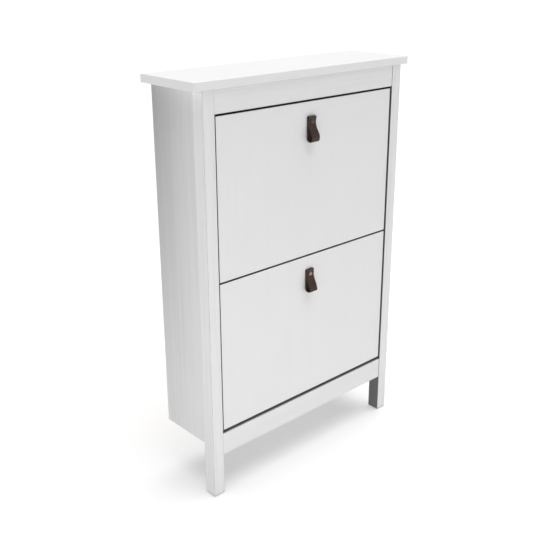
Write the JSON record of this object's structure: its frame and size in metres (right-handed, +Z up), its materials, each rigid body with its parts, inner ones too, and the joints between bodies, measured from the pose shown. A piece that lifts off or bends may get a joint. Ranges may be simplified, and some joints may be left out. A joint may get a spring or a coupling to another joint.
{
  "type": "shoe cabinet",
  "caption": "Shallow wall-fixed shoe cabinet on front legs, with tilt-out bucket flaps one above the other, leather loop pulls and an overhanging top.",
  "frame": {"origin": "middle of the object's width and depth, pulls included, on the floor under the legs", "axes": "+X right seen from the front, +Y towards the wall, +Z up"},
  "size_m": [0.8, 0.2393, 1.18],
  "materials": {
    "frame_paint": "satin white paint on solid pine, faint grain",
    "flap_paint": "satin white paint on solid wood flaps, faint vertical grain",
    "board_white": "white-faced hardboard",
    "white_plastic": "moulded white plastic, fine matt texture",
    "beech": "raw beech dowel",
    "zinc_steel": "zinc-plated steel",
    "copper": "copper-plated, softly polished",
    "dark_leather": "dark brown saddle leather, satin grain"
  },
  "bodies": {
    "carcass": {"top_board": "frame_paint", "right_front_post": "frame_paint", "left_front_post": "frame_paint", "right_foot_glide": "white_plastic", "left_foot_glide": "white_plastic", "right_side_panel": "frame_paint", "left_side_panel": "frame_paint", "top_front_rail": "frame_paint", "right_top_rail_dowel": "beech", "left_top_rail_dowel": "beech", "bottom_front_rail": "frame_paint", "right_bottom_rail_dowel": "beech", "left_bottom_rail_dowel": "beech", "bottom_board": "frame_paint", "upper_back_rail": "frame_paint", "middle_back_rail": "frame_paint", "lower_back_rail": "frame_paint", "back_panel": "board_white", "right_wall_fixing_plate": "zinc_steel", "left_wall_fixing_plate": "zinc_steel", "right_lower_pivot_bush": "white_plastic", "left_lower_pivot_bush": "white_plastic", "right_lower_guide_pin": "zinc_steel", "left_lower_guide_pin": "zinc_steel", "right_upper_pivot_bush": "white_plastic", "left_upper_pivot_bush": "white_plastic", "right_upper_guide_pin": "zinc_steel", "left_upper_guide_pin": "zinc_steel"},
    "upper_flap": {"upper_flap": "flap_paint", "right_upper_bucket_plate": "white_plastic", "left_upper_bucket_plate": "white_plastic", "upper_front_floor": "board_white", "upper_divider": "board_white", "upper_rear_floor": "board_white", "upper_rear_board": "board_white", "right_upper_pivot_pin": "zinc_steel", "left_upper_pivot_pin": "zinc_steel", "right_upper_low_plate_screw": "zinc_steel", "left_upper_low_plate_screw": "zinc_steel", "right_upper_high_plate_screw": "zinc_steel", "left_upper_high_plate_screw": "zinc_steel", "upper_pull_strap": "dark_leather", "upper_pull_screw": "copper", "upper_pull_sleeve_nut": "copper"},
    "lower_flap": {"lower_flap": "flap_paint", "right_lower_bucket_plate": "white_plastic", "left_lower_bucket_plate": "white_plastic", "lower_front_floor": "board_white", "lower_divider": "board_white", "lower_rear_floor": "board_white", "lower_rear_board": "board_white", "right_lower_pivot_pin": "zinc_steel", "left_lower_pivot_pin": "zinc_steel", "right_lower_low_plate_screw": "zinc_steel", "left_lower_low_plate_screw": "zinc_steel", "right_lower_high_plate_screw": "zinc_steel", "left_lower_high_plate_screw": "zinc_steel", "lower_pull_strap": "dark_leather", "lower_pull_screw": "copper", "lower_pull_sleeve_nut": "copper"}
  },
  "joints": [
    {"name": "upper_flap_tilt", "type": "hinge", "parent": "carcass", "child": "upper_flap", "pos_m": [0, -0.07105, 0.73024], "axis": [1, 0, 0], "range_deg": [0, 48]},
    {"name": "lower_flap_tilt", "type": "hinge", "parent": "carcass", "child": "lower_flap", "pos_m": [0, -0.07105, 0.28424], "axis": [1, 0, 0], "range_deg": [0, 48]}
  ]
}
